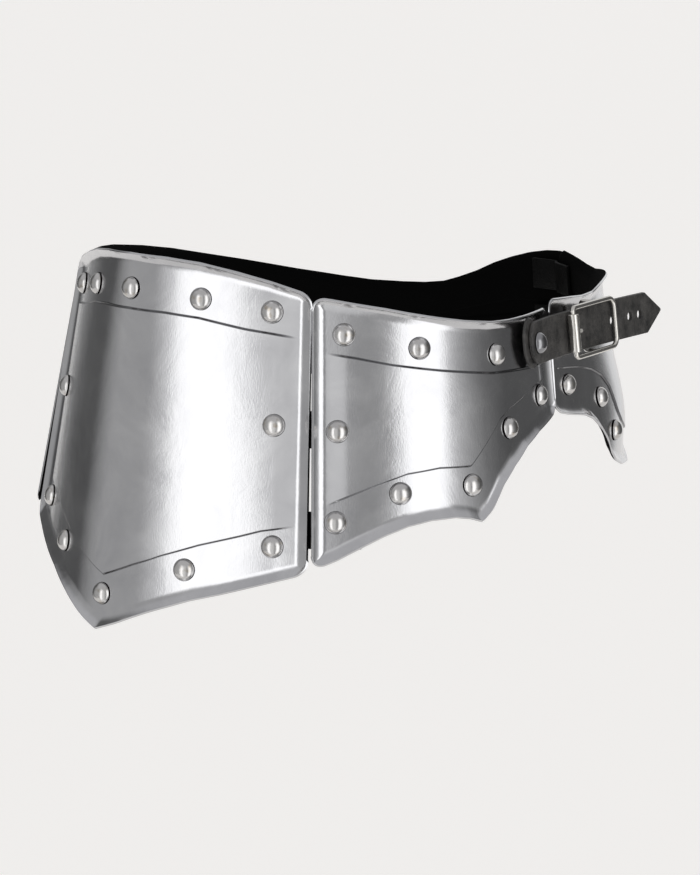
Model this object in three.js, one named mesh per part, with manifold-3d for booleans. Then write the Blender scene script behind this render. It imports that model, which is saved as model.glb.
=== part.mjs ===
// Hip armour: four steel plates joined into a ring by riveted leather straps and buckles.
// Millimetres. +Z up, the front plate faces -Y, the wearer's left side is +X.
// Heights are measured from the level of the origin, 45 mm above the line of the upper rivets.
import * as THREE from 'three';
import { mergeVertices } from 'three/addons/utils/BufferGeometryUtils.js';
import Module from 'manifold-3d';

const SHEET = 1.2;        // thickness of the steel
const LIP_OUT = 3.2;      // how far the edges are turned outward
const LIP_WIDE = 6;       // width of the turned edge
const FIELD_UP = 1.0;     // height of the raised field
const FIELD_RAMP = 2;     // width of the step around it
const CORNER = 6;         // radius of the plate corners
const LEVEL = -45;        // height of the line along which the widths are measured
const RIVET = { radius: 5.6, height: 3.7, clear: 0.5, sides: 8 };
const STRAP = { wide: 22, thick: 2.4, hole: 2.6, long: 135, point: 15 };
const PATCH = { wide: 26, thick: 1.6, back: 12, ahead: 6 };
const WIRE = 1.4;         // radius of the buckle wire
const ROLLER = { outer: 3.1, inner: 1.9, long: 20 };
const STRAP_HOLES = [49, 85, 103, 113];   // distances of the holes from the strap's rivet
const PRONG = 1.1;        // radius of the prong
const BUCKLE = { start: 37, end: 84, bar: 61, tall: 26, corner: 5 };

// Plan of each plate along the level line: distance from its start, direction it faces in degrees
// turned from -Y toward +X.
const FRONT_FACING = [[0, 0], [5, 6], [10.5, 11.5], [21, 19.6], [31.5, 24.1], [43.5, 27.3],
  [63, 31.5], [82, 35.5], [98, 38.9]];
const SIDE_FACING = [[0, 43.7], [15, 46.6], [33, 53], [54, 63.2], [70, 74.6], [86, 86.2],
  [104, 97.6], [117, 102.3], [132, 107.1], [154, 112.6]];
const BACK_FACING = [[0, 0], [5, 3.5], [13, 7.3], [26, 11.3], [37, 14], [53, 17.7], [67, 20.5],
  [102, 25]];
const RIGHT_FACING = [[0, 50], [116.7, 77], [194.5, 101.6], [272.3, 131.1], [330.6, 153.2],
  [360, 169], [389, 184]];

// Heights of the edges and steps: distance along the plate, height.
const FRONT = {
  half: 98,
  top: [[0, -20.4], [22, -21.1], [41, -23], [60, -26.7], [78, -31.1], [93, -35.7], [98, -37]],
  bottom: [[0, -209.3], [9, -204.3], [16, -200.2], [22, -197], [29, -194], [43, -188.6],
    [58, -184.3], [72, -179.9], [86, -175.6], [98, -172]],
  stepTop: [[0, -47.2], [22, -47.7], [41, -49.4], [65, -53.9], [77, -55.5], [98, -58.6]],
  stepBottom: [[0, -182.9], [14, -175.3], [28, -168.9], [46, -162.3], [66, -156.5], [76, -153.4],
    [98, -149.5]],
  flare: [[0, 0.147], [43, 0.153], [63, 0.159], [82, 0.167], [98, 0.178]],
  rivets: [[0, -37.8], [41.5, -40.6], [78.5, -45.7], [81, -101], [39, -174.7], [81.5, -160.4],
    [0, -192.2]],
};
const SIDE = {
  long: 153,
  top: [[0, -38.2], [9, -39.5], [20, -41.5], [35, -44.1], [47, -46.7], [62, -49.7], [76, -52.3],
    [93, -54.6], [108, -55.4], [126, -55.5], [153, -55.2]],
  bottom: [[0, -169.3], [11, -164.5], [21, -158.9], [31.5, -153.4], [42, -149.1], [52, -147],
    [63, -146.7], [70, -148.3], [75.5, -150.7], [81, -146], [89, -135.2], [98.5, -127],
    [111, -119.6], [126, -114.7], [144, -111.4], [153, -109.5]],
  stepTop: [[0, -64], [20, -67.1], [38, -70.9], [62, -74.9], [92, -79.4], [126, -81.7], [153, -82]],
  stepBottom: [[0, -142], [28, -130.3], [43, -125.1], [58, -123.3], [73.5, -124.2], [83, -114.7],
    [94, -103.8], [102.5, -99.7], [129, -93.1], [153, -91]],
  flare: [[0, 0.205], [50, 0.195], [100, 0.16], [153, 0.105]],
  rivets: [[15, -56.3], [52, -63.9], [97, -71.3], [11.5, -103.2], [10.5, -147.3], [39.7, -134],
    [73.5, -133.2], [100.8, -109], [138, -98.6]],
};
const BACK = {
  half: 102,
  top: [[0, -51.5], [15, -52.1], [27, -53.2], [43, -55.2], [60, -55], [75, -53.6], [91, -52.4],
    [102, -51.6]],
  bottom: [[0, -156], [20, -153], [34, -148], [42, -141.5], [46, -135.7], [54.5, -126.4],
    [63.5, -119.4], [72, -116], [89, -112.9], [102, -109.5]],
  stepTop: [[0, -70], [40, -72], [102, -72]],
  stepBottom: [[0, -138], [12, -131.5], [20, -124.4], [28.5, -109.5], [38.5, -101.6], [53, -95.7],
    [68, -92.1], [85, -90], [102, -88.5]],
  flare: [[0, 0.1], [102, 0.09]],
  swell: [[0, 0.17], [50, 0.14], [102, 0]],
  rivets: [[27.7, -133], [46.2, -111.4], [82.6, -98.8]],
};
const RIGHT = {
  long: 389,
  top: [[0, -34.6], [41, -35.1], [61, -36.7], [98, -41.7], [129, -47], [156, -52.8], [187, -59.5],
    [222, -67.6], [250, -73.3], [267, -76.2], [285, -77.5], [298, -77.8], [309, -76.8],
    [318, -73.9], [329, -69.5], [339, -64.3], [350, -60], [362, -56.4], [374, -54.2], [389, -53.4]],
  bottom: SIDE.bottom.map(([s, z]) => [(s * 389) / 153, z]),
  stepTop: [[0, -62], [98, -66], [187, -84], [250, -94], [298, -97], [350, -84], [389, -82]],
  stepBottom: [[0, -142], [71, -130.3], [109, -125.1], [187, -124.2], [211, -114.7], [260, -106],
    [298, -103], [350, -95], [389, -93]],
  flare: [[0, 0.2], [194, 0.17], [389, 0.11]],
  rivets: [[15, -53.5], [85, -57], [160, -71], [235, -87], [342, -79], [11.5, -103.2],
    [10.5, -147.3], [101, -134], [187, -136], [256, -113], [351, -101]],
};

const rad = THREE.MathUtils.degToRad;

function lookup(table, x) {
  const last = table.length - 1;
  if (x <= table[0][0]) return table[0][1];
  if (x >= table[last][0]) return table[last][1];
  const i = table.findIndex(([key]) => key > x) - 1;
  const [x0, y0] = table[i];
  const [x1, y1] = table[i + 1];
  return y0 + ((y1 - y0) * (x - x0)) / (x1 - x0);
}

// A curve in plan that starts at a point and turns as its table of directions says.
function makePlan(facing, long, x, y) {
  const step = 0.5;
  const points = [[x, y]];
  for (let s = 0; s < long + step; s += step) {
    const turn = rad(facing(s + step / 2));
    const [px, py] = points[points.length - 1];
    points.push([px + step * Math.cos(turn), py + step * Math.sin(turn)]);
  }
  return (s) => {
    const i = Math.max(0, Math.min(points.length - 2, Math.floor(s / step)));
    const f = s / step - i;
    const turn = rad(facing(s));
    return {
      x: points[i][0] + f * (points[i + 1][0] - points[i][0]),
      y: points[i][1] + f * (points[i + 1][1] - points[i][1]),
      nx: Math.sin(turn),
      ny: -Math.cos(turn),
    };
  };
}

function softRamp(drop, from) {
  const soft = 8;
  const rise = (v) => soft * Math.log1p(Math.exp(v / soft));
  return rise(drop - from) - rise(-from);
}

// A point on the outer face of a plate. The plates lean outward as they go down.
function onPlate(plate, s, z, lift) {
  const p = plate.plan(s - plate.from);
  const key = plate.mirrored ? Math.abs(s) : s;
  const drop = LEVEL - z;
  const swell = plate.swell ? lookup(plate.swell, key) : 0;
  const bulge = swell ? swell * (softRamp(drop, 38) - 2 * softRamp(drop, 82)) : 0;
  const out = lookup(plate.flare, key) * drop + bulge + lift;
  return new THREE.Vector3(plate.side * (p.x + p.nx * out), p.y + p.ny * out, z);
}

function plateNormal(plate, s, z) {
  const a = onPlate(plate, s - 1, z, 0);
  const b = onPlate(plate, s + 1, z, 0);
  const c = onPlate(plate, s, z + 1, 0);
  const d = onPlate(plate, s, z - 1, 0);
  return b.sub(a).cross(c.sub(d)).multiplyScalar(plate.side).normalize();
}

function fieldFade(side) {
  return Math.min(1, Math.max(0, (side - LIP_WIDE) / 8));
}

function lipLift(distance) {
  const t = Math.max(0, 1 - distance / LIP_WIDE);
  return LIP_OUT * t * t;
}

// Sheet plate: a grid of points on the outer face and a second one a sheet thickness inside it.
function plateGeometry(plate, spacing) {
  const long = plate.to - plate.from;
  const edge = [0, 1.5, 3.5, LIP_WIDE];
  // an even count puts a column on the centre line of a mirrored plate
  const count = 2 * Math.round((long - 2 * LIP_WIDE) / spacing / 2);
  const columns = [...edge];
  for (let i = 1; i < count; i++) columns.push(LIP_WIDE + ((long - 2 * LIP_WIDE) * i) / count);
  columns.push(...edge.map((d) => long - d).reverse());
  const rows = 14;
  const outer = [];
  const inner = [];
  for (const along of columns) {
    const s = plate.from + along;
    const key = plate.mirrored ? Math.abs(s) : s;
    const side = Math.min(along, long - along);
    const cut = side < CORNER ? CORNER - Math.sqrt(CORNER ** 2 - (CORNER - side) ** 2) : 0;
    const top = lookup(plate.top, key) - cut;
    const bottom = lookup(plate.bottom, key) + cut;
    const high = lookup(plate.stepTop, key);
    const low = lookup(plate.stepBottom, key);
    const third = (high - low - 2 * FIELD_RAMP) / 3;
    const heights = [top, top - 1.5, top - 3.5, top - LIP_WIDE, high, high - FIELD_RAMP,
      high - FIELD_RAMP - third, low + FIELD_RAMP + third, low + FIELD_RAMP, low,
      bottom + LIP_WIDE, bottom + 3.5, bottom + 1.5, bottom];
    heights.forEach((z, row) => {
      const near = Math.min(top - z, z - bottom, side);
      const field = row >= 5 && row <= 8 ? FIELD_UP * fieldFade(side) : 0;
      const lift = lipLift(near) + field;
      outer.push(onPlate(plate, s, z, lift));
      inner.push(onPlate(plate, s, z, lift - SHEET));
    });
  }
  const index = [];
  const total = outer.length;
  const quad = (a, b, c, d) => {
    if (plate.side > 0) index.push(a, b, c, a, c, d);
    else index.push(a, c, b, a, d, c);
  };
  for (let i = 0; i < columns.length - 1; i++) {
    for (let j = 0; j < rows - 1; j++) {
      const a = i * rows + j;
      quad(a, a + 1, a + rows + 1, a + rows);
      quad(total + a, total + a + rows, total + a + rows + 1, total + a + 1);
    }
    const t = i * rows;
    const b = t + rows - 1;
    quad(t, t + rows, total + t + rows, total + t);
    quad(b, total + b, total + b + rows, b + rows);
  }
  const end = (columns.length - 1) * rows;
  for (let j = 0; j < rows - 1; j++) {
    quad(j, total + j, total + j + 1, j + 1);
    quad(end + j, end + j + 1, total + end + j + 1, total + end + j);
  }
  const geometry = new THREE.BufferGeometry().setFromPoints([...outer, ...inner]);
  geometry.setIndex(index);
  return geometry;
}

const group = new THREE.Group();

function add(name, geometry, color, metalness, roughness) {
  geometry.computeVertexNormals();
  const material = new THREE.MeshStandardMaterial({ color, metalness, roughness });
  const mesh = new THREE.Mesh(geometry, material);
  mesh.name = name;
  group.add(mesh);
}

const addSteel = (name, geometry) => add(name, geometry, 0xb9bbbd, 1, 0.25);
const addLeather = (name, geometry) => add(name, geometry, 0x2b2a29, 0, 0.7);
const addNickel = (name, geometry) => add(name, geometry, 0xc9c8c4, 1, 0.2);

function closeUp(geometry) {
  geometry.deleteAttribute('normal');
  geometry.deleteAttribute('uv');
  return mergeVertices(geometry, 1e-4);
}

function rivetGeometry(centre, normal) {
  const { radius, height, sides } = RIVET;
  const profile = [[0, 0], [radius, 0], [radius, 0.5], [radius * 0.86, height * 0.52],
    [radius * 0.5, height * 0.88], [0, height]];
  const points = profile.map(([r, h]) => new THREE.Vector2(r, h));
  const geometry = closeUp(new THREE.LatheGeometry(points, sides));
  geometry.applyQuaternion(new THREE.Quaternion().setFromUnitVectors(new THREE.Vector3(0, 1, 0), normal));
  geometry.translate(centre.x, centre.y, centre.z);
  return geometry;
}

function addRivet(name, plate, s, z) {
  const normal = plateNormal(plate, s, z);
  const key = plate.mirrored ? Math.abs(s) : s;
  const onField = z < lookup(plate.stepTop, key) && z > lookup(plate.stepBottom, key);
  const field = onField ? FIELD_UP * fieldFade(Math.min(s - plate.from, plate.to - s) + RIVET.radius) : 0;
  const centre = onPlate(plate, s, z, 0).addScaledVector(normal, RIVET.clear + field);
  addSteel(name, rivetGeometry(centre, normal));
}

// The four plates, each placed after the one before it.
const frontFacing = (s) => Math.sign(s) * lookup(FRONT_FACING, Math.abs(s));
const frontHalf = makePlan((s) => frontFacing(s), FRONT.half, 0, -167.2);
const frontPlan = (s) => {
  const p = frontHalf(Math.abs(s - FRONT.half));
  const sign = s < FRONT.half ? -1 : 1;
  return { x: sign * p.x, y: p.y, nx: sign * p.nx, ny: p.ny };
};
const frontPlate = { ...FRONT, plan: frontPlan, from: -FRONT.half, to: FRONT.half, side: 1, mirrored: true };

const sidePlan = makePlan((s) => lookup(SIDE_FACING, s), SIDE.long, 87.5, -123.6);
const sidePlate = { ...SIDE, plan: sidePlan, from: 0, to: SIDE.long, side: 1 };

const BACK_TURN = 128.5;
const backFacing = (s) => {
  const along = s - BACK.half;
  return BACK_TURN + Math.sign(along) * lookup(BACK_FACING, Math.abs(along));
};
const backPlan = makePlan(backFacing, 2 * BACK.half, 115.5, 16.9);
const backPlate = { ...BACK, plan: backPlan, from: -BACK.half, to: BACK.half, side: 1, mirrored: true };

const rightPlan = makePlan((s) => lookup(RIGHT_FACING, s), RIGHT.long, 87.8, -123.2);
const rightPlate = { ...RIGHT, plan: rightPlan, from: 0, to: RIGHT.long, side: -1 };

addSteel('front_plate', plateGeometry(frontPlate, 11));
addSteel('side_plate_left', plateGeometry(sidePlate, 9));
addSteel('back_plate', plateGeometry(backPlate, 11.5));
addSteel('side_plate_right', plateGeometry(rightPlate, 16));

let count = 0;
for (const [s, z] of FRONT.rivets) {
  for (const sign of s === 0 ? [1] : [1, -1]) {
    count += 1;
    addRivet(`front_rivet_${count}`, frontPlate, sign * s, z);
  }
}
SIDE.rivets.forEach(([s, z], i) => addRivet(`side_rivet_left_${i + 1}`, sidePlate, s, z));
RIGHT.rivets.forEach(([s, z], i) => addRivet(`side_rivet_right_${i + 1}`, rightPlate, s, z));
count = 0;
for (const [s, z] of BACK.rivets) {
  for (const sign of [1, -1]) {
    count += 1;
    addRivet(`back_rivet_${count}`, backPlate, sign * s, z);
  }
}

// Straps and buckles. A strap lies on edge along its own path in plan, at one height, and leans
// with the plates.
const STRAP_Z = -69.5;
const STRAP_LEAN = 0.12;
const LEFT_STRAP = {
  name: 'left',
  plate: sidePlate,
  rivetAt: 129,
  lift: 5.4,
  facing: [[-30, 107], [0, 110], [10, 109], [22, 104], [60, 101], [90, 98], [150, 97]],
};

function strapFrame(strap) {
  const start = onPlate(strap.plate, strap.rivetAt, STRAP_Z, strap.lift);
  const long = PATCH.back + 5;
  const facing = (s) => lookup(strap.facing, s - long);
  const forward = makePlan(facing, long + STRAP.long + 10, 0, 0);
  const at = forward(long);
  const side = strap.plate.side;
  // distance along the strap from its rivet, height above the strap's middle, distance outward
  return (along, up, out) => {
    const p = forward(along + long);
    const reach = out - STRAP_LEAN * up;
    const x = side * start.x + p.x - at.x + p.nx * reach;
    const y = start.y + p.y - at.y + p.ny * reach;
    return new THREE.Vector3(side * x, y, STRAP_Z + up);
  };
}

// Leather band of a given half width at each distance, laid along the strap's path.
function bandGeometry(place, stations, thick, out, side) {
  const points = [];
  for (const [along, half] of stations) {
    for (const [up, depth] of [[-half, -thick / 2], [-half, thick / 2], [half, thick / 2],
      [half, -thick / 2]]) points.push(place(along, up, out + depth));
  }
  const index = [];
  const quad = (i, j, k, l) => {
    if (side > 0) index.push(i, j, k, i, k, l);
    else index.push(i, k, j, i, l, k);
  };
  for (let n = 0; n < stations.length - 1; n++) {
    const a = 4 * n;
    for (let c = 0; c < 4; c++) {
      const d = (c + 1) % 4;
      quad(a + c, a + 4 + c, a + 4 + d, a + d);
    }
  }
  const z = 4 * (stations.length - 1);
  quad(0, 1, 2, 3);
  quad(z, z + 3, z + 2, z + 1);
  const geometry = new THREE.BufferGeometry().setFromPoints(points);
  geometry.setIndex(index);
  return geometry;
}

// Stations of a band whose start is rounded and whose end is rounded or cut to a point.
function bandStations(from, to, wide, pointed) {
  const half = wide / 2;
  const round = half * 0.7;
  const arc = [0.02, 0.1, 0.25, 0.5, 0.75, 1];
  const stations = arc.map((f) => [from + round * f, half * Math.sqrt(1 - (1 - f) ** 2)]);
  const tail = pointed ? to - STRAP.point : to - round;
  const first = from + round;
  const count = Math.round((tail - first) / 4.5);
  for (let i = 1; i <= count; i++) stations.push([first + ((tail - first) * i) / count, half]);
  if (pointed) stations.push([to, 0.6]);
  else for (const [along, h] of stations.slice(0, 5).reverse()) stations.push([to - along + from, h]);
  return stations;
}

function wireGeometry(points, radius, closed, sides) {
  const section = new THREE.Shape();
  for (let i = 0; i < sides; i++) {
    const turn = (2 * Math.PI * i) / sides;
    if (i === 0) section.moveTo(radius, 0);
    else section.lineTo(radius * Math.cos(turn), radius * Math.sin(turn));
  }
  const path = new THREE.CatmullRomCurve3(points, closed, 'centripetal');
  const steps = closed ? Math.round(points.length * 1.5) : points.length * 2;
  return new THREE.ExtrudeGeometry(section, { steps, bevelEnabled: false, extrudePath: path });
}

const wasm = await Module();
wasm.setup();

function toSolid(geometry) {
  const clean = closeUp(geometry);
  const vertProperties = new Float32Array(clean.attributes.position.array);
  const triVerts = new Uint32Array(clean.index.array);
  return new wasm.Manifold(new wasm.Mesh({ numProp: 3, vertProperties, triVerts }));
}

function fromSolid(solid) {
  const mesh = solid.getMesh();
  const geometry = new THREE.BufferGeometry();
  geometry.setAttribute('position', new THREE.BufferAttribute(mesh.vertProperties, 3));
  geometry.setIndex(new THREE.BufferAttribute(mesh.triVerts, 1));
  return geometry;
}

const unit = (place, along, up, out) => place(along, up, out).sub(place(along, 0, 0)).normalize();

// The ring is a bent wire whose ends lie above the strap; the middle bar passes under it.
function frameGeometry(place) {
  const { start, end, bar, tall, corner } = BUCKLE;
  const high = STRAP.thick / 2 + ROLLER.outer + 0.4;
  const flat = STRAP.thick / 2 + WIRE + 0.5;
  const out = (along) => high + ((flat - high) * (along - start)) / (end - start);
  const half = tall / 2;
  const ring = [];
  const corners = [[start, -1, 180], [end, -1, 270], [end, 1, 0], [start, 1, 90]];
  for (const [along, up, turn] of corners) {
    const r = along === start ? 2.5 : corner;
    const cx = along + (along === start ? r : -r);
    const cy = up * (half - r);
    for (let i = 0; i <= 3; i++) {
      const a = rad(turn + i * 30);
      ring.push(place(cx + r * Math.cos(a), cy + r * Math.sin(a), out(cx)));
    }
  }
  const low = -STRAP.thick / 2 - WIRE - 0.6;
  const legs = [place(bar, -half, out(bar)), place(bar, -half, low + 1.5), place(bar, -half + 1, low),
    place(bar, half - 1, low), place(bar, half, low + 1.5), place(bar, half, out(bar))];
  return { ring: wireGeometry(ring, WIRE, true, 7), legs: wireGeometry(legs, WIRE, false, 7) };
}

// The prong starts on the middle bar, comes up through a hole and ends beside the roller.
function prongGeometry(place) {
  const { bar } = BUCKLE;
  const hole = STRAP_HOLES[0];
  const low = -STRAP.thick / 2 - PRONG - 0.4;
  const points = [place(bar - WIRE - PRONG - 0.5, 0, low), place(hole + 3.2, 0, low),
    place(hole + 0.4, 0, -0.6), place(hole - 1, 0, STRAP.thick / 2 + 1.2),
    place(hole - 2.6, 0, STRAP.thick / 2 + 2.4)];
  return closeUp(wireGeometry(points, PRONG, false, 7));
}

function addStrap(strap) {
  const place = strapFrame(strap);
  const side = strap.plate.side;
  const normal = unit(place, 0, 0, 1);
  const rise = unit(place, BUCKLE.start, 1, 0);
  const facing = normal.clone().sub(rise.clone().multiplyScalar(normal.dot(rise))).normalize();

  const stations = bandStations(-8, STRAP.long, STRAP.wide, true);
  let leather = toSolid(bandGeometry(place, stations, STRAP.thick, 0, side));
  for (const along of STRAP_HOLES) {
    const punch = [[0, -3], [STRAP.hole, -3], [STRAP.hole, 3], [0, 3]];
    const tool = closeUp(new THREE.LatheGeometry(punch.map(([r, h]) => new THREE.Vector2(r, h)), 10));
    const axis = unit(place, along, 0, 1);
    tool.applyQuaternion(new THREE.Quaternion().setFromUnitVectors(new THREE.Vector3(0, 1, 0), axis));
    const at = place(along, 0, 0);
    tool.translate(at.x, at.y, at.z);
    leather = leather.subtract(toSolid(tool));
  }
  addLeather(`strap_${strap.name}`, fromSolid(leather));
  const under = -(STRAP.thick + PATCH.thick) / 2 - 0.3;
  const patch = bandStations(-PATCH.back, PATCH.ahead, PATCH.wide, false);
  addLeather(`strap_patch_${strap.name}`, bandGeometry(place, patch, PATCH.thick, under, side));
  addSteel(`strap_rivet_${strap.name}`, rivetGeometry(place(0, 0, STRAP.thick / 2 + 0.5), facing));

  const { ring, legs } = frameGeometry(place);
  addNickel(`buckle_frame_${strap.name}`, fromSolid(toSolid(ring).add(toSolid(legs))));
  addNickel(`buckle_prong_${strap.name}`, prongGeometry(place));

  const middle = place(BUCKLE.start, 0, STRAP.thick / 2 + ROLLER.outer + 0.4);
  const h = ROLLER.long / 2;
  const tube = [[ROLLER.inner, -h], [ROLLER.outer, -h], [ROLLER.outer, h], [ROLLER.inner, h],
    [ROLLER.inner, -h]].map(([r, y]) => new THREE.Vector2(r, y));
  const roller = closeUp(new THREE.LatheGeometry(tube, 12));
  roller.applyQuaternion(new THREE.Quaternion().setFromUnitVectors(new THREE.Vector3(0, 1, 0), rise));
  roller.translate(middle.x, middle.y, middle.z);
  addNickel(`buckle_roller_${strap.name}`, roller);
}

addStrap(LEFT_STRAP);

// Short leather straps inside the joints of the front plate, between facing pairs of rivets.
const JOINT = { reach: 22, wide: 18, thick: 2.2, heights: { upper: -52, middle: -103, lower: -152 } };

function addJoint(name, z, plate) {
  const side = plate.side;
  const place = (along, up, out) => {
    const lift = out - SHEET - 0.5 - JOINT.thick / 2;
    if (along >= 0) return onPlate(plate, along, z + up, lift);
    return onPlate(frontPlate, side * (FRONT.half + along), z + up, lift);
  };
  const stations = [-1, -0.6, -0.2, 0.2, 0.6, 1].map((f) => [f * JOINT.reach, JOINT.wide / 2]);
  addLeather(name, bandGeometry(place, stations, JOINT.thick, 0, side));
}

for (const [level, z] of Object.entries(JOINT.heights)) {
  addJoint(`joint_strap_left_${level}`, z, sidePlate);
  addJoint(`joint_strap_right_${level}`, z, rightPlate);
}

// The same straps inside the joint of the right side plate and the back plate.
const BACK_JOINT_HEIGHTS = { upper: -67, lower: -95 };

function addBackJoint(name, z) {
  const place = (along, up, out) => {
    const lift = out - SHEET - 0.5 - JOINT.thick / 2;
    if (along < 0) return onPlate(rightPlate, RIGHT.long + along, z + up, lift);
    return onPlate(backPlate, BACK.half - along, z + up, lift);
  };
  const stations = [-1, -0.6, -0.2, 0.2, 0.6, 1].map((f) => [f * JOINT.reach, JOINT.wide / 2]);
  addLeather(name, bandGeometry(place, stations, JOINT.thick, 0, rightPlate.side));
}

for (const [level, z] of Object.entries(BACK_JOINT_HEIGHTS)) {
  addBackJoint(`back_joint_strap_${level}`, z);
}

export default group;
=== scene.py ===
import math

import bmesh
import bpy
import numpy as np
from mathutils import Matrix, Vector


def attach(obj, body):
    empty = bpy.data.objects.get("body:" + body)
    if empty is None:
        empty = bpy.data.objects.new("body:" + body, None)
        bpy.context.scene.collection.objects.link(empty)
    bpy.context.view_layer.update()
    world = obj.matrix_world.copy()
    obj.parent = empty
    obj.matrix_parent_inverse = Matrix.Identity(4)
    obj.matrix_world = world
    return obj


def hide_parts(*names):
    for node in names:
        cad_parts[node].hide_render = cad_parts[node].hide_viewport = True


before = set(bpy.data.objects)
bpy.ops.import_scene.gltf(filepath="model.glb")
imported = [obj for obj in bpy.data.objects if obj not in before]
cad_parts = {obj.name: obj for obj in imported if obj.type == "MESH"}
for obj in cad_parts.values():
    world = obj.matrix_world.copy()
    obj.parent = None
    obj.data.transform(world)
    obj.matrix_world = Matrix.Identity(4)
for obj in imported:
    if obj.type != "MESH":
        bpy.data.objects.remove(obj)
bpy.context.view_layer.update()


# The studio: a roll of pale paper far below the armour, which hangs as it would on its wearer. It
# widens away from the camera. Round it stand tall soft white panels with grey and dark gaps, and
# the room above is a plain mid grey.

VIEW_TURN = 44.5


def studio_floor():
    half_width, half_length, ahead, down, spread = 2.2, 30, 29, 1.4, 6
    bm = bmesh.new()
    bmesh.ops.create_grid(bm, x_segments=1, y_segments=1, size=1)
    bmesh.ops.scale(bm, vec=(half_width, half_length, 1), verts=bm.verts)
    bmesh.ops.scale(bm, vec=(spread, 1, 1), verts=[v for v in bm.verts if v.co.y > 0])
    bmesh.ops.translate(bm, vec=(0, ahead, -down), verts=bm.verts)
    turn = Matrix.Rotation(math.radians(VIEW_TURN), 3, "Z")
    bmesh.ops.rotate(bm, matrix=turn, verts=bm.verts)
    mesh = bpy.data.meshes.new("floor")
    bm.to_mesh(mesh)
    bm.free()
    floor = bpy.data.objects.new("floor", mesh)
    bpy.context.collection.objects.link(floor)
    material = bpy.data.materials.new("floor_paper")
    material.use_nodes = True
    shader = material.node_tree.nodes["Principled BSDF"]
    shader.inputs["Base Color"].default_value = (0.81, 0.795, 0.775, 1)
    shader.inputs["Roughness"].default_value = 0.9
    shader.inputs["Emission Color"].default_value = (1, 0.985, 0.965, 1)
    shader.inputs["Emission Strength"].default_value = 0.35
    mesh.materials.append(material)


def studio_room():
    world = bpy.data.worlds.new("studio_room")
    bpy.context.scene.world = world
    world.use_nodes = True
    nodes, links = world.node_tree.nodes, world.node_tree.links
    background = nodes["Background"]
    where = nodes.new("ShaderNodeTexCoord")
    split = nodes.new("ShaderNodeSeparateXYZ")
    links.new(where.outputs["Generated"], split.inputs[0])
    flip = nodes.new("ShaderNodeMath")
    flip.operation = "MULTIPLY"
    flip.inputs[1].default_value = -1
    links.new(split.outputs["Y"], flip.inputs[0])
    turn = nodes.new("ShaderNodeMath")
    turn.operation = "ARCTAN2"
    links.new(split.outputs["X"], turn.inputs[0])
    links.new(flip.outputs[0], turn.inputs[1])
    spread = nodes.new("ShaderNodeMapRange")
    spread.inputs["From Min"].default_value = -math.pi
    spread.inputs["From Max"].default_value = math.pi
    links.new(turn.outputs[0], spread.inputs["Value"])
    # degrees turned from the front toward the wearer's left, brightness of the room there
    panels = [(-180, 0.12), (-174, 0.16), (-167, 0.95), (-150, 0.9), (-136, 0.5), (-116, 0.42),
              (-100, 0.12), (-80, 0.12), (-68, 0.35), (-54, 0.5), (-16, 0.5), (-9, 0.72),
              (-4, 0.95), (0, 1.9), (15, 1.9), (19, 0.85), (33, 0.9), (46, 0.8), (52, 0.45),
              (62, 0.4), (68, 0.6), (73, 1.9), (98, 1.9), (103, 0.95), (110, 0.6), (120, 0.38),
              (132, 0.22), (150, 0.12), (180, 0.12)]
    ramp = nodes.new("ShaderNodeValToRGB")
    while len(ramp.color_ramp.elements) < len(panels):
        ramp.color_ramp.elements.new(0.5)
    for stop, (angle, bright) in zip(ramp.color_ramp.elements, panels):
        stop.position = (angle + 180) / 360
        stop.color = (bright, bright, bright, 1)
    links.new(spread.outputs["Result"], ramp.inputs[0])
    above = nodes.new("ShaderNodeMapRange")
    above.interpolation_type = "SMOOTHSTEP"
    above.inputs["From Min"].default_value = 0.42
    above.inputs["From Max"].default_value = 0.75
    links.new(split.outputs["Z"], above.inputs["Value"])
    mix = nodes.new("ShaderNodeMix")
    mix.data_type = "RGBA"
    mix.inputs["B"].default_value = (0.62, 0.62, 0.63, 1)
    links.new(above.outputs["Result"], mix.inputs["Factor"])
    links.new(ramp.outputs["Color"], mix.inputs["A"])
    links.new(mix.outputs["Result"], background.inputs["Color"])
    bpy.context.scene.view_settings.view_transform = "Standard"


def studio_camera():
    camera = bpy.data.cameras.new("camera")
    camera.sensor_fit = "HORIZONTAL"
    camera.sensor_width = 36
    camera.lens = 151.459
    camera.clip_end = 200
    holder = bpy.data.objects.new("camera", camera)
    bpy.context.collection.objects.link(holder)
    holder.location = (1.10871, -1.13690, 0.17970)
    aim = Vector((-0.68732, 0.69928, -0.19645))
    holder.rotation_euler = aim.to_track_quat("-Z", "Y").to_euler()
    bpy.context.scene.camera = holder


studio_floor()
studio_room()
studio_camera()


# The four plates are shaped from 1.2 mm steel sheet and painted black inside. Each leans outward
# toward its lower edge, and has its edges turned out by about 3 mm and a field raised by about
# 1 mm inside them. Sizes are in millimetres, heights count from the waist, and directions are in
# degrees turned from the front. A table's rows hold the distance along the plate, then the size.

MM = 0.001
LEVEL = -45
SHEET, LIP_OUT, LIP_WIDE, CORNER = 1.2, 3.2, 6.0, 6.0
FIELD_UP, FIELD_FADE, STEP = 0.9, 10, 1.0

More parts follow.
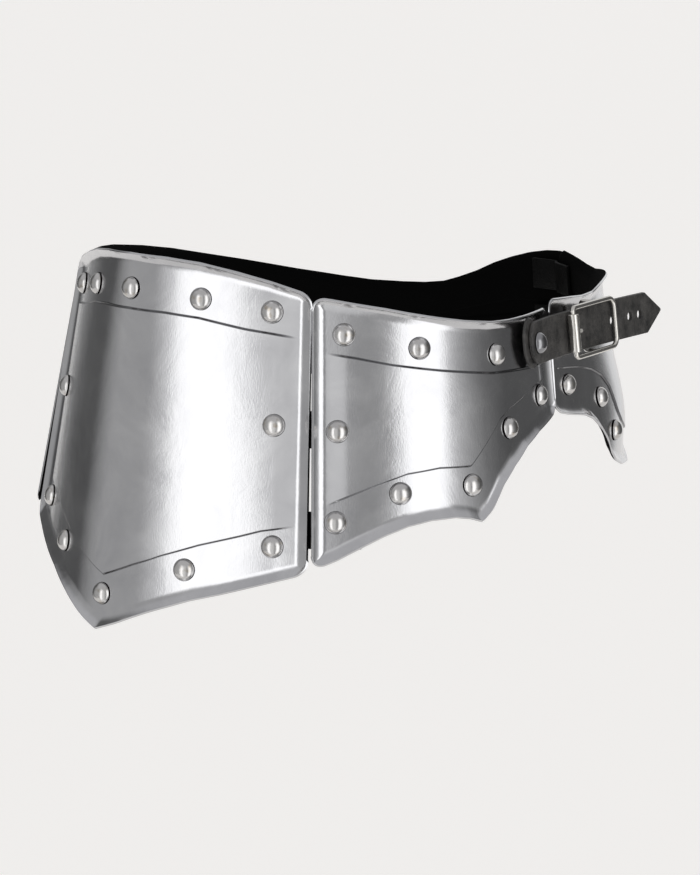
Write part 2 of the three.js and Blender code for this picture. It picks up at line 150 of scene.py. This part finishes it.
FRONT = dict(
    half=98,
    facing=[(0, 0), (5, 6), (10.5, 11.5), (21, 19.6), (31.5, 24.1), (43.5, 27.3), (63, 31.5),
            (82, 35.5), (98, 38.9)],
    top=[(0, -20.4), (22, -21.1), (41, -23), (60, -26.7), (78, -31.1), (93, -35.7), (98, -37)],
    bottom=[(0, -209.3), (9, -204.3), (16, -200.2), (22, -197), (29, -194), (43, -188.6),
            (58, -184.3), (72, -179.9), (86, -175.6), (98, -172)],
    step_top=[(0, -47.2), (22, -47.7), (41, -49.4), (65, -53.9), (77, -55.5), (98, -58.6)],
    step_bottom=[(0, -182.9), (14, -175.3), (28, -168.9), (46, -162.3), (66, -156.5),
                 (76, -153.4), (98, -149.5)],
    flare=[(0, 0.147), (43, 0.153), (63, 0.159), (82, 0.167), (98, 0.178)],
    rivets=[(0, -37.8), (41.5, -40.6), (78.5, -45.7), (81, -101), (39, -174.7), (81.5, -160.4),
            (0, -192.2)])
SIDE = dict(
    long=153,
    facing=[(0, 43.7), (15, 46.6), (33, 53), (54, 63.2), (70, 74.6), (86, 86.2), (104, 97.6),
            (117, 102.3), (132, 107.1), (154, 112.6)],
    top=[(0, -38.2), (9, -39.5), (20, -41.5), (35, -44.1), (47, -46.7), (62, -49.7), (76, -52.3),
         (93, -54.6), (108, -55.4), (126, -55.5), (153, -55.2)],
    bottom=[(0, -169.3), (11, -164.5), (21, -158.9), (31.5, -153.4), (42, -149.1), (52, -147),
            (63, -146.7), (70, -148.3), (75.5, -150.7), (81, -146), (89, -135.2), (98.5, -127),
            (111, -119.6), (126, -114.7), (144, -111.4), (153, -109.5)],
    step_top=[(0, -64), (20, -67.1), (38, -70.9), (62, -74.9), (92, -79.4), (126, -81.7),
              (153, -82)],
    step_bottom=[(0, -142), (28, -130.3), (43, -125.1), (58, -123.3), (73.5, -124.2),
                 (83, -114.7), (94, -103.8), (102.5, -99.7), (129, -93.1), (153, -91)],
    flare=[(0, 0.205), (50, 0.195), (100, 0.16), (153, 0.105)],
    rivets=[(15, -56.3), (52, -63.9), (97, -71.3), (11.5, -103.2), (10.5, -147.3), (39.7, -134),
            (73.5, -133.2), (100.8, -109), (138, -98.6)])
BACK = dict(
    half=102,
    facing=[(0, 0), (5, 3.5), (13, 7.3), (26, 11.3), (37, 14), (53, 17.7), (67, 20.5),
            (102, 25)],
    top=[(0, -51.5), (15, -52.1), (27, -53.2), (43, -55.2), (60, -55), (75, -53.6),
         (91, -52.4), (102, -51.6)],
    bottom=[(0, -156), (20, -153), (34, -148), (42, -141.5), (46, -135.7), (54.5, -126.4),
            (63.5, -119.4), (72, -116), (89, -112.9), (102, -109.5)],
    step_top=[(0, -70), (40, -72), (102, -72)],
    step_bottom=[(0, -138), (12, -131.5), (20, -124.4), (28.5, -109.5), (38.5, -101.6),
                 (53, -95.7), (68, -92.1), (85, -90), (102, -88.5)],
    flare=[(0, 0.1), (102, 0.09)],
    swell=[(0, 0.17), (50, 0.14), (102, 0)],
    rivets=[(27.7, -133), (46.2, -111.4), (82.6, -98.8)])
RIGHT = dict(
    long=389,
    facing=[(0, 50), (116.7, 77), (194.5, 101.6), (272.3, 131.1), (330.6, 153.2), (360, 169),
            (389, 184)],
    top=[(0, -34.6), (41, -35.1), (61, -36.7), (98, -41.7), (129, -47), (156, -52.8),
         (187, -59.5), (222, -67.6), (250, -73.3), (267, -76.2), (285, -77.5), (298, -77.8),
         (309, -76.8), (318, -73.9), (329, -69.5), (339, -64.3), (350, -60), (362, -56.4),
         (374, -54.2), (389, -53.4)],
    bottom=[(s * 389 / 153, z) for s, z in SIDE["bottom"]],
    step_top=[(0, -62), (98, -66), (187, -84), (250, -94), (298, -97), (350, -84), (389, -82)],
    step_bottom=[(0, -142), (71, -130.3), (109, -125.1), (187, -124.2), (211, -114.7),
                 (260, -106), (298, -103), (350, -95), (389, -93)],
    flare=[(0, 0.2), (194, 0.17), (389, 0.11)],
    rivets=[(15, -53.5), (85, -57), (160, -71), (235, -87), (342, -79), (11.5, -103.2),
            (10.5, -147.3), (101, -134), (187, -136), (256, -113), (351, -101)])


def lookup(table, x):
    return float(np.interp(x, [row[0] for row in table], [row[1] for row in table]))


def walk(facing, long, start):
    """A curve in plan that turns as facing says: gives the place and the outward direction."""
    pace = 0.5
    steps = np.arange(0, long + 1, pace)
    turns = np.radians([facing(s + pace / 2) for s in steps])
    x = start[0] + np.concatenate([[0], np.cumsum(pace * np.cos(turns))])
    y = start[1] + np.concatenate([[0], np.cumsum(pace * np.sin(turns))])
    stations = np.arange(len(x)) * pace

    def at(s):
        turn = math.radians(facing(s))
        return (float(np.interp(s, stations, x)), float(np.interp(s, stations, y)),
                math.sin(turn), -math.cos(turn))
    return at


def lay_out(plate, start, centre_turn=0):
    """Gives a plate its plan: a start point, and for a two-sided plate the turn of its middle."""
    if "half" in plate:
        half = plate["half"]

        def facing(s):
            return centre_turn + math.copysign(lookup(plate["facing"], abs(s - half)), s - half)
        plate.update(begin=-half, end=half, side=1)
        plate["plan"] = walk(facing, 2 * half, start)
    else:
        plate.update(begin=0, end=plate["long"])
        plate["plan"] = walk(lambda s: lookup(plate["facing"], s), plate["long"], start)


def table_at(plate, name, s):
    """A table's size at s. A two-sided plate's tables count from its middle both ways."""
    return lookup(plate[name], abs(s) if "half" in plate else s)


def soft_ramp(drop, begin):
    """Rises evenly below begin, with a rounded start."""
    soft = 8
    rise = math.log1p(math.exp((drop - begin) / soft)) - math.log1p(math.exp(-begin / soft))
    return soft * rise


def on_plate(plate, s, z, lift):
    """The place at s along the plate and at height z, lifted outward from its plain surface."""
    x, y, nx, ny = plate["plan"](s - plate["begin"])
    drop = LEVEL - z
    out = table_at(plate, "flare", s) * drop + lift
    if "swell" in plate:
        swell_begin, swell_end = 38, 82
        swell = soft_ramp(drop, swell_begin) - 2 * soft_ramp(drop, swell_end)
        out += table_at(plate, "swell", s) * swell
    return Vector((plate["side"] * (x + nx * out), y + ny * out, z)) * MM


def smooth(t):
    t = min(1.0, max(0.0, t))
    return t * t * (3 - 2 * t)


def plate_point(plate, along, down):
    """A point of the outer face, for along and down from 0 to 1, and how strong the painted shade
    along the field's steps is there.
    """
    long = plate["end"] - plate["begin"]
    # the grid is close in the turned edges and at the steps of the field
    along_shares, down_shares = [0, 0.11, 0.89, 1], [0, 0.16, 0.24, 0.34, 0.62, 0.72, 0.84, 1]
    fine_side, fine_edge, above_step, below_step = 9, 7.5, 0.6, 1.6
    run = float(np.interp(along, along_shares, [0, fine_side, long - fine_side, long]))
    s = plate["begin"] + run
    side = min(run, long - run)
    cut = CORNER - math.sqrt(CORNER ** 2 - (CORNER - side) ** 2) if side < CORNER else 0
    top = table_at(plate, "top", s) - cut
    bottom = table_at(plate, "bottom", s) + cut
    high = table_at(plate, "step_top", s)
    low = table_at(plate, "step_bottom", s)
    heights = [top, top - fine_edge, high + above_step, high - below_step, low + below_step,
               low - above_step, bottom + fine_edge, bottom]
    z = float(np.interp(down, down_shares, heights))
    near = min(top - z, z - bottom, side)
    lip = LIP_OUT * max(0.0, 1 - near / LIP_WIDE) ** 2
    fade = smooth((side - LIP_WIDE) / FIELD_FADE)
    field = FIELD_UP * fade * smooth((high - z) / STEP) * smooth((z - low) / STEP)
    # painted shade: a thin dark line along each step of the field, where the step's own shadow
    # falls
    from_step = min(abs(z - high + STEP / 2), abs(z - low - STEP / 2))
    painted_step_shade = 0.85 * fade * smooth(2 * max(0.0, 1 - from_step / (STEP * 0.75)))
    return on_plate(plate, s, z, lip + field), painted_step_shade


def steel(name, tone, rough, grain_depth):
    """Steel polished by hand: cloudy patches, a fine grain, and painted shade as a thin dark line
    along the steps of the field.
    """
    material = bpy.data.materials.new(name)
    material.use_nodes = True
    nodes, links = material.node_tree.nodes, material.node_tree.links
    shader = nodes["Principled BSDF"]
    shader.inputs["Metallic"].default_value = 1
    where = nodes.new("ShaderNodeTexCoord")
    cloud = nodes.new("ShaderNodeTexNoise")
    cloud.inputs["Scale"].default_value = 34
    cloud.inputs["Detail"].default_value = 6
    cloud.inputs["Roughness"].default_value = 0.62
    cloud.inputs["Distortion"].default_value = 0.6
    links.new(where.outputs["Object"], cloud.inputs["Vector"])
    shade = nodes.new("ShaderNodeMapRange")
    shade.inputs["From Min"].default_value = 0.3
    shade.inputs["From Max"].default_value = 0.7
    shade.inputs["To Min"].default_value = rough * 0.75
    shade.inputs["To Max"].default_value = rough * 1.35
    links.new(cloud.outputs["Fac"], shade.inputs["Value"])
    links.new(shade.outputs["Result"], shader.inputs["Roughness"])
    tint = nodes.new("ShaderNodeValToRGB")
    tint.color_ramp.elements[0].position = 0.3
    tint.color_ramp.elements[0].color = (tone[0] * 0.84, tone[1] * 0.84, tone[2] * 0.85, 1)
    tint.color_ramp.elements[1].position = 0.68
    tint.color_ramp.elements[1].color = (*tone, 1)
    links.new(cloud.outputs["Fac"], tint.inputs["Fac"])
    # painted shade: the mask of the dark line along the field's steps darkens the base colour
    step_shade_mask = nodes.new("ShaderNodeAttribute")
    step_shade_mask.attribute_name = "step_shade_mask"
    painted_step_shade = nodes.new("ShaderNodeMix")
    painted_step_shade.data_type = "RGBA"
    painted_step_shade.inputs["B"].default_value = (0.07, 0.07, 0.075, 1)
    links.new(step_shade_mask.outputs["Fac"], painted_step_shade.inputs["Factor"])
    links.new(tint.outputs["Color"], painted_step_shade.inputs["A"])
    links.new(painted_step_shade.outputs["Result"], shader.inputs["Base Color"])
    stretch = nodes.new("ShaderNodeMapping")
    stretch.inputs["Scale"].default_value = (1, 1, 0.35)
    links.new(where.outputs["Object"], stretch.inputs["Vector"])
    specks = nodes.new("ShaderNodeTexNoise")
    specks.inputs["Scale"].default_value = 1500
    specks.inputs["Detail"].default_value = 4
    links.new(stretch.outputs["Vector"], specks.inputs["Vector"])
    dents = nodes.new("ShaderNodeBump")
    dents.inputs["Strength"].default_value = 0.10
    dents.inputs["Distance"].default_value = 0.0015
    links.new(cloud.outputs["Fac"], dents.inputs["Height"])
    grain = nodes.new("ShaderNodeBump")
    grain.inputs["Strength"].default_value = grain_depth
    grain.inputs["Distance"].default_value = 0.0002
    links.new(specks.outputs["Fac"], grain.inputs["Height"])
    links.new(dents.outputs["Normal"], grain.inputs["Normal"])
    links.new(grain.outputs["Normal"], shader.inputs["Normal"])
    return material


# black for the plates' insides, and also painted shade on the band under each rivet dome
def black_paint():
    material = bpy.data.materials.new("black_paint_inside_and_dome_shade")
    material.use_nodes = True
    nodes, links = material.node_tree.nodes, material.node_tree.links
    shader = nodes["Principled BSDF"]
    shader.inputs["Base Color"].default_value = (0.0012, 0.0012, 0.0012, 1)
    shader.inputs["Specular IOR Level"].default_value = 0.05
    rough = nodes.new("ShaderNodeTexNoise")
    rough.inputs["Scale"].default_value = 220
    spread = nodes.new("ShaderNodeMapRange")
    spread.inputs["To Min"].default_value = 0.85
    spread.inputs["To Max"].default_value = 1.0
    links.new(rough.outputs["Fac"], spread.inputs["Value"])
    links.new(spread.outputs["Result"], shader.inputs["Roughness"])
    return material


def make_plate(name, plate, columns, rows, outside, inside):
    bm = bmesh.new()
    bmesh.ops.create_grid(bm, x_segments=columns, y_segments=rows, size=1)
    # how strong the painted shade along the field's steps is at each point
    step_shade_mask = bm.verts.layers.float.new("step_shade_mask")
    for vert in bm.verts:
        vert.co, vert[step_shade_mask] = plate_point(plate, (vert.co.x + 1) / 2, (1 - vert.co.y) / 2)
    if plate["side"] < 0:
        bmesh.ops.reverse_faces(bm, faces=bm.faces)
    for face in bm.faces:
        face.smooth = True
    mesh = bpy.data.meshes.new(name)
    bm.to_mesh(mesh)
    bm.free()
    piece = bpy.data.objects.new(name, mesh)
    bpy.context.collection.objects.link(piece)
    mesh.materials.append(outside)
    mesh.materials.append(inside)
    wall = piece.modifiers.new("sheet", "SOLIDIFY")
    wall.thickness = SHEET * MM
    wall.offset = -1
    wall.material_offset = 1
    wall.material_offset_rim = 0
    edge = piece.modifiers.new("edge", "BEVEL")
    edge.width = 0.00025
    edge.segments = 2
    edge.limit_method = "ANGLE"
    edge.angle_limit = math.radians(50)
    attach(piece, "root")
    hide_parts(name)


# the front plate is laid out once to find its middle, then again with the middle in its place
FRONT_MIDDLE = -167.2
lay_out(FRONT, (0, 0))
middle_x, middle_y = FRONT["plan"](FRONT["half"])[:2]
lay_out(FRONT, (-middle_x, FRONT_MIDDLE - middle_y))
SIDE["side"] = 1
lay_out(SIDE, (87.5, -123.6))
lay_out(BACK, (115.5, 16.9), 128.5)
RIGHT["side"] = -1
lay_out(RIGHT, (87.8, -123.2))

plate_steel = steel("polished_plate", (0.60, 0.60, 0.61), 0.15, 0.12)
inside_paint_and_dome_shade = black_paint()
make_plate("front_plate", FRONT, 150, 150, plate_steel, inside_paint_and_dome_shade)
make_plate("side_plate_left", SIDE, 130, 130, plate_steel, inside_paint_and_dome_shade)
make_plate("back_plate", BACK, 160, 120, plate_steel, inside_paint_and_dome_shade)
make_plate("side_plate_right", RIGHT, 220, 80, plate_steel, inside_paint_and_dome_shade)


# Rivets: solid steel domes, 11 mm across, fixed through the plates. The band under each dome's
# rim, in the gap above the plate, is black as painted shade under the dome. Each row of the
# section is a distance from the middle and a height.

RIVET = [(5.75, -0.45), (5.75, -0.1), (5.6, 0.0), (5.6, 0.35), (5.5, 0.6), (5.2, 1.15),
         (4.6, 1.95), (3.7, 2.7), (2.5, 3.3), (1.25, 3.62), (0.0, 3.7)]
RIVET_RADIUS, RIVET_CLEAR, RIVET_FADE = 5.6, 0.5, 8


def add_dome(bm, centre, normal):
    spin = bmesh.new()
    verts = [spin.verts.new((across * MM, 0, up * MM)) for across, up in RIVET]
    for a, b in zip(verts, verts[1:]):
        spin.edges.new((a, b))
    bmesh.ops.spin(spin, geom=spin.verts[:] + spin.edges[:], cent=(0, 0, 0), axis=(0, 0, 1),
                   angle=math.tau, steps=28, use_merge=True)
    bmesh.ops.remove_doubles(spin, verts=spin.verts, dist=1e-6)
    bmesh.ops.holes_fill(spin, edges=[e for e in spin.edges if e.is_boundary], sides=40)
    bmesh.ops.recalc_face_normals(spin, faces=spin.faces)
    # faces below the rim take the second slot: black, as painted shade under the dome
    for face in spin.faces:
        face.material_index = int(face.calc_center_median().z < 0)
    turn = normal.to_track_quat("Z", "Y").to_matrix().to_4x4()
    bmesh.ops.transform(spin, matrix=Matrix.Translation(centre) @ turn, verts=spin.verts)
    for face in spin.faces:
        face.smooth = len(face.verts) < 6
    part = bpy.data.meshes.new("dome")
    spin.to_mesh(part)
    spin.free()
    bm.from_mesh(part)
    bpy.data.meshes.remove(part)


def plate_normal(plate, s, z):
    across = on_plate(plate, s + 1, z, 0) - on_plate(plate, s - 1, z, 0)
    up = on_plate(plate, s, z + 1, 0) - on_plate(plate, s, z - 1, 0)
    return (across.cross(up) * plate["side"]).normalized()


def finish_piece(name, bm, material, nodes, second=None):
    mesh = bpy.data.meshes.new(name)
    bm.to_mesh(mesh)
    bm.free()
    piece = bpy.data.objects.new(name, mesh)
    bpy.context.collection.objects.link(piece)
    mesh.materials.append(material)
    if second:
        mesh.materials.append(second)
    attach(piece, "root")
    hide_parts(*nodes)


def rivet_steel():
    """Domes are softer in shine than the sheet, with a warm stain in places."""
    material = steel("polished_rivet", (0.62, 0.61, 0.60), 0.20, 0.06)
    nodes, links = material.node_tree.nodes, material.node_tree.links
    shader = nodes["Principled BSDF"]
    tint = shader.inputs["Base Color"].links[0].from_socket
    stain = nodes.new("ShaderNodeTexNoise")
    stain.inputs["Scale"].default_value = 260
    where = nodes.new("ShaderNodeTexCoord")
    links.new(where.outputs["Object"], stain.inputs["Vector"])
    amount = nodes.new("ShaderNodeMapRange")
    amount.inputs["From Min"].default_value = 0.56
    amount.inputs["From Max"].default_value = 0.74
    amount.inputs["To Max"].default_value = 0.5
    links.new(stain.outputs["Fac"], amount.inputs["Value"])
    mix = nodes.new("ShaderNodeMix")
    mix.data_type = "RGBA"
    mix.inputs["B"].default_value = (0.34, 0.27, 0.17, 1)
    links.new(amount.outputs["Result"], mix.inputs["Factor"])
    links.new(tint, mix.inputs["A"])
    links.new(mix.outputs["Result"], shader.inputs["Base Color"])
    return material


def add_rivets(name, plate, node, material):
    bm = bmesh.new()
    for s, z in plate["rivets"]:
        for sign in (1, -1) if "half" in plate and s else (1,):
            at = sign * s
            high = table_at(plate, "step_top", at)
            low = table_at(plate, "step_bottom", at)
            side = min(at - plate["begin"], plate["end"] - at)
            # the field, and a rivet on it, sinks toward the plate's ends
            on_field = min(1, max(0, (side + RIVET_RADIUS - LIP_WIDE) / RIVET_FADE))
            lift = RIVET_CLEAR + (on_field * FIELD_UP if low < z < high else 0)
            normal = plate_normal(plate, at, z)
            add_dome(bm, on_plate(plate, at, z, 0) + normal * lift * MM, normal)
    nodes = [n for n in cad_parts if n.startswith(node)]
    finish_piece(name, bm, material, nodes, inside_paint_and_dome_shade)


dome_steel = rivet_steel()
add_rivets("front_rivets", FRONT, "front_rivet_", dome_steel)
add_rivets("side_rivets_left", SIDE, "side_rivet_left_", dome_steel)
add_rivets("side_rivets_right", RIGHT, "side_rivet_right_", dome_steel)
add_rivets("back_rivets", BACK, "back_rivet_", dome_steel)


# Leather: a strap 2.4 mm thick, dyed nearly black, punched with four holes and cut to a point,
# with a patch under its rivet. Short blackened straps lie inside the front joints and the right
# back joint.

def leather(name, dark, light, warm):
    material = bpy.data.materials.new(name)
    material.use_nodes = True
    nodes, links = material.node_tree.nodes, material.node_tree.links
    shader = nodes["Principled BSDF"]
    where = nodes.new("ShaderNodeTexCoord")
    pores = nodes.new("ShaderNodeTexVoronoi")
    pores.inputs["Scale"].default_value = 1100
    links.new(where.outputs["Object"], pores.inputs["Vector"])
    wear = nodes.new("ShaderNodeTexNoise")
    wear.inputs["Scale"].default_value = 150
    wear.inputs["Detail"].default_value = 8
    wear.inputs["Roughness"].default_value = 0.7
    links.new(where.outputs["Object"], wear.inputs["Vector"])
    tint = nodes.new("ShaderNodeValToRGB")
    tint.color_ramp.elements[0].position = 0.35
    tint.color_ramp.elements[0].color = (dark, dark * 0.98, dark * 0.96, 1)
    tint.color_ramp.elements[1].position = 0.72
    tint.color_ramp.elements[1].color = (light * warm, light, light * (2 - warm), 1)
    links.new(wear.outputs["Fac"], tint.inputs["Fac"])
    links.new(tint.outputs["Color"], shader.inputs["Base Color"])
    rough = nodes.new("ShaderNodeMapRange")
    rough.inputs["To Min"].default_value = 0.36
    rough.inputs["To Max"].default_value = 0.62
    links.new(wear.outputs["Fac"], rough.inputs["Value"])
    links.new(rough.outputs["Result"], shader.inputs["Roughness"])
    grain = nodes.new("ShaderNodeBump")
    grain.inputs["Strength"].default_value = 0.55
    grain.inputs["Distance"].default_value = 0.0004
    links.new(pores.outputs["Distance"], grain.inputs["Height"])
    creases = nodes.new("ShaderNodeBump")
    creases.inputs["Strength"].default_value = 0.35
    creases.inputs["Distance"].default_value = 0.0008
    links.new(wear.outputs["Fac"], creases.inputs["Height"])
    links.new(grain.outputs["Normal"], creases.inputs["Normal"])
    links.new(creases.outputs["Normal"], shader.inputs["Normal"])
    return material


def leather_piece(name, material, round_edge):
    """The cut of the leather from its frame piece, with its edges rounded."""
    bm = bmesh.new()
    bm.from_mesh(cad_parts[name].data)
    bmesh.ops.remove_doubles(bm, verts=bm.verts, dist=1e-6)
    bmesh.ops.dissolve_limit(bm, angle_limit=math.radians(1), verts=bm.verts, edges=bm.edges,
                             delimit={"NORMAL"})
    sharp = [e for e in bm.edges if e.is_manifold and e.calc_face_angle() > math.radians(50)]
    bmesh.ops.bevel(bm, geom=sharp, offset=round_edge * MM, offset_type="OFFSET",
                    affect="EDGES", segments=3, profile=0.5, material=-1, clamp_overlap=True)
    bmesh.ops.triangulate(bm, faces=bm.faces)
    bmesh.ops.recalc_face_normals(bm, faces=bm.faces)
    for face in bm.faces:
        face.smooth = True
    for edge in bm.edges:
        edge.smooth = not edge.is_manifold or edge.calc_face_angle() < math.radians(35)
    finish_piece(name + "_leather", bm, material, [name])


strap_leather = leather("strap_leather", 0.012, 0.075, 1.06)
joint_leather = leather("joint_leather", 0.001, 0.002, 1.0)
joint_leather.node_tree.nodes["Principled BSDF"].inputs["Specular IOR Level"].default_value = 0.1
leather_piece("strap_left", strap_leather, 0.5)
leather_piece("strap_patch_left", strap_leather, 0.4)
joint_levels = {"joint_strap_left": ("upper", "middle", "lower"),
                "joint_strap_right": ("upper", "middle", "lower"),
                "back_joint_strap": ("upper", "lower")}
for joint, levels in joint_levels.items():
    for level in levels:
        leather_piece(joint + "_" + level, joint_leather, 0.4)


# The buckle: a nickel-plated wire frame with a middle bar, a roller of rolled sheet on its end
# bar and a short prong through the first hole. Its places count along the strap's own curve from
# the strap's rivet, and lean with the plates.

STRAP_Z, STRAP_LEAN, STRAP_HALF, STRAP_BEHIND, PATH_LONG = -69.5, 0.12, 1.2, 17, 170
STRAP = dict(rivet_at=129, lift=5.4,
             facing=[(-30, 107), (0, 110), (10, 109), (22, 104), (60, 101), (90, 98), (150, 97)])
WIRE, BAR_WIRE, PRONG, ROLLER, HOLE = 1.4, 1.35, 1.1, 3.1, 49
START, BAR, END, HALF_TALL = 37, 61, 84, 13
ABOVE_START = STRAP_HALF + ROLLER + 0.4
ABOVE_END = STRAP_HALF + WIRE + 0.5
UNDER = -STRAP_HALF - WIRE - 0.6

plated_nickel = steel("nickel_plate", (0.68, 0.66, 0.62), 0.16, 0.08)


def strap_path(strap, plate):
    """Gives the place for a distance from the rivet, a height on the strap and one outward."""
    start = on_plate(plate, strap["rivet_at"], STRAP_Z, strap["lift"]) / MM
    path = walk(lambda s: lookup(strap["facing"], s - STRAP_BEHIND), PATH_LONG, (0, 0))
    from_x, from_y = path(STRAP_BEHIND)[:2]

    def place(along, up, out):
        x, y, nx, ny = path(along + STRAP_BEHIND)
        reach = out - STRAP_LEAN * up
        return Vector((start.x + x - from_x + nx * reach, start.y + y - from_y + ny * reach,
                       STRAP_Z + up)) * MM
    return place


def wire(name, points, radius, closed):
    """A round wire through points, as a mesh."""
    curve = bpy.data.curves.new(name, "CURVE")
    curve.dimensions = "3D"
    curve.bevel_depth = radius * MM
    curve.bevel_resolution = 5
    curve.resolution_u = 6
    curve.use_fill_caps = True
    spline = curve.splines.new("NURBS")
    spline.points.add(len(points) - 1)
    for point, at in zip(spline.points, points):
        point.co = (*at, 1)
    spline.order_u = 3
    spline.use_cyclic_u = closed
    spline.use_endpoint_u = not closed
    holder = bpy.data.objects.new(name, curve)
    bpy.context.collection.objects.link(holder)
    bpy.context.view_layer.update()
    drawn = holder.evaluated_get(bpy.context.evaluated_depsgraph_get())
    mesh = bpy.data.meshes.new_from_object(drawn)
    bpy.data.objects.remove(holder)
    return mesh


def wire_piece(name, node, wires):
    bm = bmesh.new()
    for mesh in wires:
        bm.from_mesh(mesh)
        bpy.data.meshes.remove(mesh)
    finish_piece(name, bm, plated_nickel, [node])


def frame_out(along):
    """The frame slopes from the roller's middle down toward the strap."""
    return ABOVE_START + (ABOVE_END - ABOVE_START) * (along - START) / (END - START)


def add_frame(place):
    ring = []
    for along, up, turn in ((START, -1, 180), (END, -1, 270), (END, 1, 0), (START, 1, 90)):
        corner = 2.5 if along == START else 5
        centre_along = along + (corner if along == START else -corner)
        centre_up = up * (HALF_TALL - corner)
        for i in range(7):
            a = math.radians(turn + 15 * i)
            ring.append(place(centre_along + corner * math.cos(a),
                              centre_up + corner * math.sin(a), frame_out(centre_along)))
    # the middle bar goes down beside the strap, under it and up again: height, distance outward
    bar = [(-HALF_TALL, frame_out(BAR)), (-HALF_TALL, UNDER + 3), (-HALF_TALL, UNDER + 1),
           (-HALF_TALL + 1, UNDER), (-HALF_TALL + 3, UNDER)]
    bar += [(-up, out) for up, out in reversed(bar)]
    middle = [place(BAR, up, out) for up, out in bar]
    wire_piece("buckle_wire_left", "buckle_frame_left",
               [wire("ring", ring, WIRE, True), wire("bar", middle, BAR_WIRE, False)])


def add_prong(place):
    under = -STRAP_HALF - PRONG - 0.4
    # from under the bar, up through the hole and toward the roller: distance along, outward
    bends = [(BAR - 3, under), (HOLE + 3.4, under), (HOLE + 0.6, under + 1.6), (HOLE, 0.6),
             (HOLE - 1.2, 2.6), (HOLE - 2.8, 3.7)]
    points = [place(along, 0, out) for along, out in bends]
    wire_piece("prong_left", "buckle_prong_left", [wire("prong", points, PRONG, False)])


def add_roller(place, rise):
    # rows of the section: distance from the middle, height
    section = [(1.9, -10), (2.8, -10), (3.05, -9.8), (ROLLER, -9.5), (ROLLER, 9.5), (3.05, 9.8),
               (2.8, 10), (1.9, 10)]
    bm = bmesh.new()
    verts = [bm.verts.new((across * MM, 0, up * MM)) for across, up in section]
    for a, b in zip(verts, verts[1:] + verts[:1]):
        bm.edges.new((a, b))
    bmesh.ops.spin(bm, geom=bm.verts[:] + bm.edges[:], cent=(0, 0, 0), axis=(0, 0, 1),
                   angle=math.tau, steps=32, use_merge=True)
    bmesh.ops.remove_doubles(bm, verts=bm.verts, dist=1e-6)
    bmesh.ops.recalc_face_normals(bm, faces=bm.faces)
    turn = rise.to_track_quat("Z", "Y").to_matrix().to_4x4()
    middle = Matrix.Translation(place(START, 0, ABOVE_START))
    bmesh.ops.transform(bm, matrix=middle @ turn, verts=bm.verts)
    for face in bm.faces:
        face.smooth = True
    for edge in bm.edges:
        edge.smooth = edge.calc_face_angle(0) < math.radians(40)
    finish_piece("roller_left", bm, plated_nickel, ["buckle_roller_left"])


on_strap = strap_path(STRAP, SIDE)
strap_rise = (on_strap(START, 1, 0) - on_strap(START, 0, 0)).normalized()
add_frame(on_strap)
add_prong(on_strap)
add_roller(on_strap, strap_rise)


# The strap's rivet: one more solid steel dome, coloured darker than the others as a painted
# reflection of the dark leather round it. It holds the strap, with the patch under it, to the
# side plate.

# painted reflection: a darker tone stands for the dark leather this dome reflects
strap_dome_dark_reflection = steel("rivet_painted_dark_reflection", (0.30, 0.30, 0.31), 0.16, 0.05)
outward = (on_strap(0, 0, 1) - on_strap(0, 0, 0)).normalized()
square_out = (outward - strap_rise * outward.dot(strap_rise)).normalized()
strap_dome = bmesh.new()
add_dome(strap_dome, on_strap(0, 0, STRAP_HALF + RIVET_CLEAR), square_out)
# the second slot paints the band under this dome's rim black, as painted shade
finish_piece("strap_dome_left", strap_dome, strap_dome_dark_reflection,
             ["strap_rivet_left"], inside_paint_and_dome_shade)
